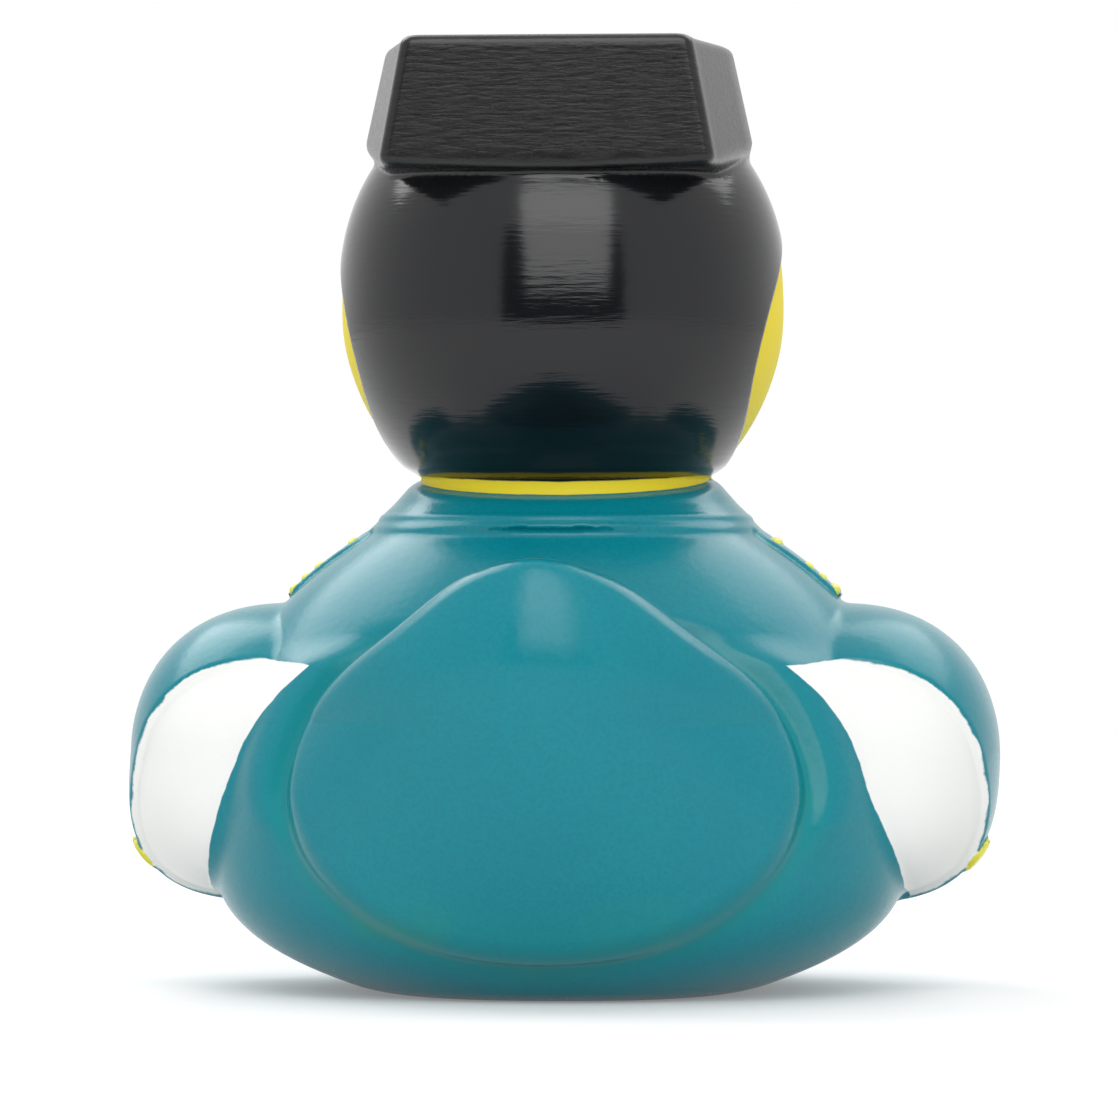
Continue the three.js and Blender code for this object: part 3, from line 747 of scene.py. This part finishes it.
def duck_paint(name, shine):
    paint = Paint(name)
    paint.shader.inputs["Specular IOR Level"].default_value = shine
    shake = paint.maths("SUBTRACT", paint.noise(scale=330, detail=3.0), 0.5)
    wobble = paint.maths("MULTIPLY", shake, 0.5)
    steady = paint.maths("MULTIPLY", wobble, 0.4)
    cloudy = paint.spread(paint.noise(scale=60, detail=3.0), 0.3, 0.7)
    speckle = paint.spread(paint.noise(scale=2600), 0.36, 0.66)
    patches = paint.spread(paint.noise(scale=70), 0.5, 0.65)
    pooled = paint.spread(paint.layer("tail_groove"), 1.9, 0.4)

    teal = paint.blend(paint.part(cloudy, 0.55), TEAL, TEAL_PALE)
    teal = paint.blend(paint.part(speckle, 0.4), teal, TEAL_DEEP)
    teal = paint.blend(paint.part(pooled, 0.7), teal, GROOVE_TEAL)
    green = paint.maths("MULTIPLY", paint.part(pooled, 0.5), patches)
    teal = paint.blend(green, teal, GROOVE_GREEN)

    white = paint.inside("white_edge", wobble)
    skin = paint.inside("skin_edge", steady)
    bill = paint.inside("bill_edge", steady)
    eye = paint.inside("eye_edge", steady)
    hair = paint.inside("hair_edge", steady)
    button = paint.inside("button_edge", steady)

    colour = paint.blend(white, teal, WHITE)
    colour = paint.blend(button, colour, BEAD_YELLOW)
    colour = paint.blend(skin, colour, SKIN_YELLOW)
    colour = paint.blend(bill, colour, BILL_ORANGE)
    colour = paint.blend(eye, colour, EYE_BLACK)
    colour = paint.blend(hair, colour, HAIR_BLACK)
    paint.feed(paint.shader.inputs["Base Color"], colour)

    roughness = paint.spread(cloudy, 0, 1, *TEAL_ROUGHNESS)
    roughness = paint.blend_number(white, roughness, WHITE_ROUGHNESS)
    roughness = paint.blend_number(skin, roughness, SKIN_ROUGHNESS)
    roughness = paint.blend_number(hair, roughness, HAIR_ROUGHNESS)
    roughness = paint.blend_number(eye, roughness, EYE_ROUGHNESS)
    paint.feed(paint.shader.inputs["Roughness"], roughness)

    grain = paint.noise(scale=1200, detail=4.0)
    strokes = paint.noise(scale=2600, detail=3.0, stretch=(0.10, 0.10, 1.0))
    paint.relief(paint.blend_number(hair, grain, strokes), strength=0.3, distance=GRAIN)
    return paint.material


def hat_paint():
    paint = Paint("hat_black")
    marks = paint.noise(scale=2400, detail=4.0, stretch=(0.16, 0.4, 1.0), roughness=0.6)
    strokes = paint.spread(marks, 0.3, 0.72)
    paint.feed(paint.shader.inputs["Base Color"], paint.blend(strokes, HAT_BLACK, HAT_GREY))
    paint.feed(paint.shader.inputs["Roughness"], paint.spread(strokes, 0, 1, *HAT_ROUGHNESS))
    paint.shader.inputs["Specular IOR Level"].default_value = HAT_SHINE
    paint.relief(strokes, strength=0.18, distance=GRAIN)
    return paint.material


def bead_paint():
    paint = Paint("bead_yellow")
    mottle = paint.spread(paint.noise(scale=900), 0.35, 0.65)
    paint.feed(paint.shader.inputs["Base Color"], paint.blend(mottle, BEAD_YELLOW, BEAD_PALE))
    paint.shader.inputs["Roughness"].default_value = BEAD_ROUGHNESS
    return paint.material


# Beads round the shoulder boards

def bead_places():
    """Points on the skin round the edge of each board: two rows down it, closed at either end."""
    rows = BOARD_FOOT_Z + np.array(BEAD_ROWS)
    places = [(across, z) for across in (-BEAD_EDGE, BEAD_EDGE) for z in rows]
    places += [(across, z) for across in (-BEAD_INNER, 0, BEAD_INNER) for z in (rows[0], rows[-1])]
    across, z = np.array(places).T
    first_guess = np.full(len(z), 24.0)
    points = np.stack([first_guess, BOARD_Y + across * BOARD_WIDTH / 2, z], axis=1)
    for _ in range(30):
        slope = slope_of(duck_skin, points, SLOPE_REACH)
        points[:, 0] -= duck_skin(points) / np.maximum(slope[:, 0], 0.2)
    points -= BEAD_SINK * slope_of(duck_skin, points, SLOPE_REACH)
    return np.concatenate([points, points * (-1, 1, 1)])


def bead_tree(material):
    tree = bpy.data.node_groups.new("beads on points", "GeometryNodeTree")
    tree.interface.new_socket("Geometry", in_out="INPUT", socket_type="NodeSocketGeometry")
    size = tree.interface.new_socket("Bead radius", in_out="INPUT", socket_type="NodeSocketFloat")
    tree.interface.new_socket("Geometry", in_out="OUTPUT", socket_type="NodeSocketGeometry")
    start, end = tree.nodes.new("NodeGroupInput"), tree.nodes.new("NodeGroupOutput")
    ball = tree.nodes.new("GeometryNodeMeshIcoSphere")
    ball.inputs["Subdivisions"].default_value = 3
    spread = tree.nodes.new("GeometryNodeInstanceOnPoints")
    real = tree.nodes.new("GeometryNodeRealizeInstances")
    smooth = tree.nodes.new("GeometryNodeSetShadeSmooth")
    dress = tree.nodes.new("GeometryNodeSetMaterial")
    dress.inputs["Material"].default_value = material
    join = tree.links.new
    join(start.outputs["Geometry"], spread.inputs["Points"])
    join(start.outputs["Bead radius"], ball.inputs["Radius"])
    join(ball.outputs["Mesh"], spread.inputs["Instance"])
    join(spread.outputs["Instances"], real.inputs["Geometry"])
    join(real.outputs["Geometry"], smooth.inputs["Geometry"])
    join(smooth.outputs["Geometry"], dress.inputs["Geometry"])
    join(dress.outputs["Geometry"], end.inputs["Geometry"])
    return tree, size.identifier


def shoulder_beads():
    points = bead_places()
    mesh = bpy.data.meshes.new("bead_places")
    mesh.from_pydata([tuple(p * MM) for p in points], [], [])
    carrier = shown("bead_places", mesh)
    tree, size = bead_tree(bead_paint())
    strung = carrier.modifiers.new("beads", "NODES")
    strung.node_group = tree
    strung[size] = BEAD_R * MM
    beads = finished_mesh(carrier, "shoulder_beads")
    bpy.data.objects.remove(carrier)
    return shown("shoulder_beads", beads)


# The studio

VIEW_AZIMUTH = math.radians(184.6)
VIEW_DISTANCE, VIEW_HEIGHT, VIEW_ASIDE = 650.0, 42.5, -0.44
PIXELS_PER_MM, IMAGE_PIXELS, SENSOR_WIDTH = 10.14, 1117, 36
FLOOR_GLOW, SKY_LIGHT = 0.22, 0.47

# In metres
FLOOR_SIDE, FLOOR_AHEAD, FLOOR_BEHIND = 0.9, -0.9, 0.35
OPENING_AWAY, OPENING_SIDE, OPENING_FOOT, OPENING_TOP = 1.1, 0.66, -0.25, 0.6


def studio_camera():
    back = towards(0, 0)
    right = towards(90, 0)
    data = bpy.data.cameras.new("camera")
    data.sensor_fit = "HORIZONTAL"
    data.sensor_width = SENSOR_WIDTH
    data.lens = SENSOR_WIDTH * PIXELS_PER_MM * VIEW_DISTANCE / IMAGE_PIXELS
    data.clip_start = 0.01
    camera = bpy.data.objects.new("camera", data)
    bpy.context.scene.collection.objects.link(camera)
    place = (back * VIEW_DISTANCE + right * VIEW_ASIDE + Vector((0, 0, VIEW_HEIGHT))) * MM
    axes = Matrix((right, Vector((0, 0, 1)), back)).transposed()
    camera.matrix_world = Matrix.Translation(place) @ axes.to_4x4()
    bpy.context.scene.camera = camera


def flat_sheet(name, corners, colour):
    mesh = bpy.data.meshes.new(name)
    mesh.from_pydata(corners, [], [(0, 1, 2, 3)])
    material = bpy.data.materials.new(name)
    material.use_nodes = True
    shader = material.node_tree.nodes["Principled BSDF"]
    shader.inputs["Base Color"].default_value = colour
    shader.inputs["Roughness"].default_value = SHEET_ROUGHNESS
    mesh.materials.append(material)
    sheet = shown(name, mesh)
    return sheet


def seen_ray(tree):
    """1 for a ray that the camera sees straight, in gloss or through something clear."""
    rays = tree.nodes.new("ShaderNodeLightPath")
    seen = rays.outputs["Is Camera Ray"]
    for ray in ("Is Glossy Ray", "Is Transmission Ray"):
        either = tree.nodes.new("ShaderNodeMath")
        either.operation = "MAXIMUM"
        tree.links.new(seen, either.inputs[0])
        tree.links.new(rays.outputs[ray], either.inputs[1])
        seen = either.outputs[0]
    return seen


def studio_floor():
    corners = [(-FLOOR_SIDE, FLOOR_AHEAD, 0), (FLOOR_SIDE, FLOOR_AHEAD, 0),
               (FLOOR_SIDE, FLOOR_BEHIND, 0), (-FLOOR_SIDE, FLOOR_BEHIND, 0)]
    floor = flat_sheet("pale_floor", corners, FLOOR_GREY)
    tree = floor.data.materials[0].node_tree
    shader = tree.nodes["Principled BSDF"]
    glow = tree.nodes.new("ShaderNodeMath")
    glow.operation = "MULTIPLY"
    tree.links.new(seen_ray(tree), glow.inputs[0])
    glow.inputs[1].default_value = FLOOR_GLOW
    shader.inputs["Emission Color"].default_value = (1, 1, 1, 1)
    tree.links.new(glow.outputs[0], shader.inputs["Emission Strength"])


def studio_sky():
    world = bpy.data.worlds.new("studio")
    bpy.context.scene.world = world
    world.use_nodes = True
    nodes, links = world.node_tree.nodes, world.node_tree.links
    sky = nodes["Background"]
    seen = seen_ray(world.node_tree)
    level = nodes.new("ShaderNodeMapRange")
    links.new(seen, level.inputs["Value"])
    level.inputs["To Min"].default_value = SKY_LIGHT
    level.inputs["To Max"].default_value = 1.0
    links.new(level.outputs[0], sky.inputs["Strength"])
    sky.inputs["Color"].default_value = (1, 1, 1, 1)


def towards(turn, rise):
    """The way from the duck to a place; the turn is from the camera, and positive to its right."""
    azimuth = VIEW_AZIMUTH + math.radians(turn)
    level = math.cos(math.radians(rise))
    return Vector((math.sin(azimuth) * level, -math.cos(azimuth) * level, math.sin(math.radians(rise))))


def soft_box(name, turn, rise, away, width, height, brightness):
    """A lamp that faces the head, with its distance and its sides in metres."""
    data = bpy.data.lights.new(name, "AREA")
    data.shape = "RECTANGLE"
    data.size, data.size_y = width, height
    data.energy = math.pi * width * height * brightness
    lamp = bpy.data.objects.new(name, data)
    bpy.context.scene.collection.objects.link(lamp)
    way = towards(turn, rise)
    lamp.location = way * away + Vector((0, 0, HEAD_Z * MM))
    lamp.rotation_euler = way.to_track_quat("Z", "Y").to_euler()
    lamp.visible_camera = False


def studio_light():
    soft_box("box_behind_camera", turn=2, rise=29, away=1.0, width=0.80, height=0.84, brightness=3.1)
    soft_box("box_overhead", turn=180, rise=80, away=1.0, width=1.4, height=1.1, brightness=0.3)
    soft_box("box_far_left", turn=-135, rise=47, away=1.1, width=1.0, height=0.7, brightness=3.2)
    soft_box("box_far_right", turn=135, rise=47, away=1.1, width=1.0, height=0.7, brightness=2.0)


def camera_opening():
    """The unlit opening round the camera, which only shows in the gloss."""
    middle = towards(0, 0) * OPENING_AWAY + Vector((0, 0, HEAD_Z * MM))
    aside = towards(90, 0) * OPENING_SIDE
    foot = Vector((0, 0, OPENING_FOOT))
    top = Vector((0, 0, OPENING_TOP))
    corners = [middle - aside + foot, middle + aside + foot, middle + aside + top, middle - aside + top]
    card = flat_sheet("camera_opening", corners, CARD_BLACK)
    card.visible_camera = False
    card.visible_diffuse = False
    card.visible_shadow = False


scene = bpy.context.scene
scene.view_settings.view_transform = "Standard"
studio_camera()
studio_floor()
studio_sky()
studio_light()
camera_opening()

duck_mesh = moulded_duck()
duck_mesh.materials.clear()
paint_edges(duck_mesh)
duck_mesh.materials.append(duck_paint("painted_body", BODY_SHINE))
duck_mesh.materials.append(hat_paint())
duck_mesh.materials.append(duck_paint("painted_head", HEAD_SHINE))
share_paints(duck_mesh)
even_shading(duck_mesh)
duck = shown("duck_moulding", duck_mesh)
beads = shoulder_beads()

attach(duck, "root")
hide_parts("duck")
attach(beads, "root")
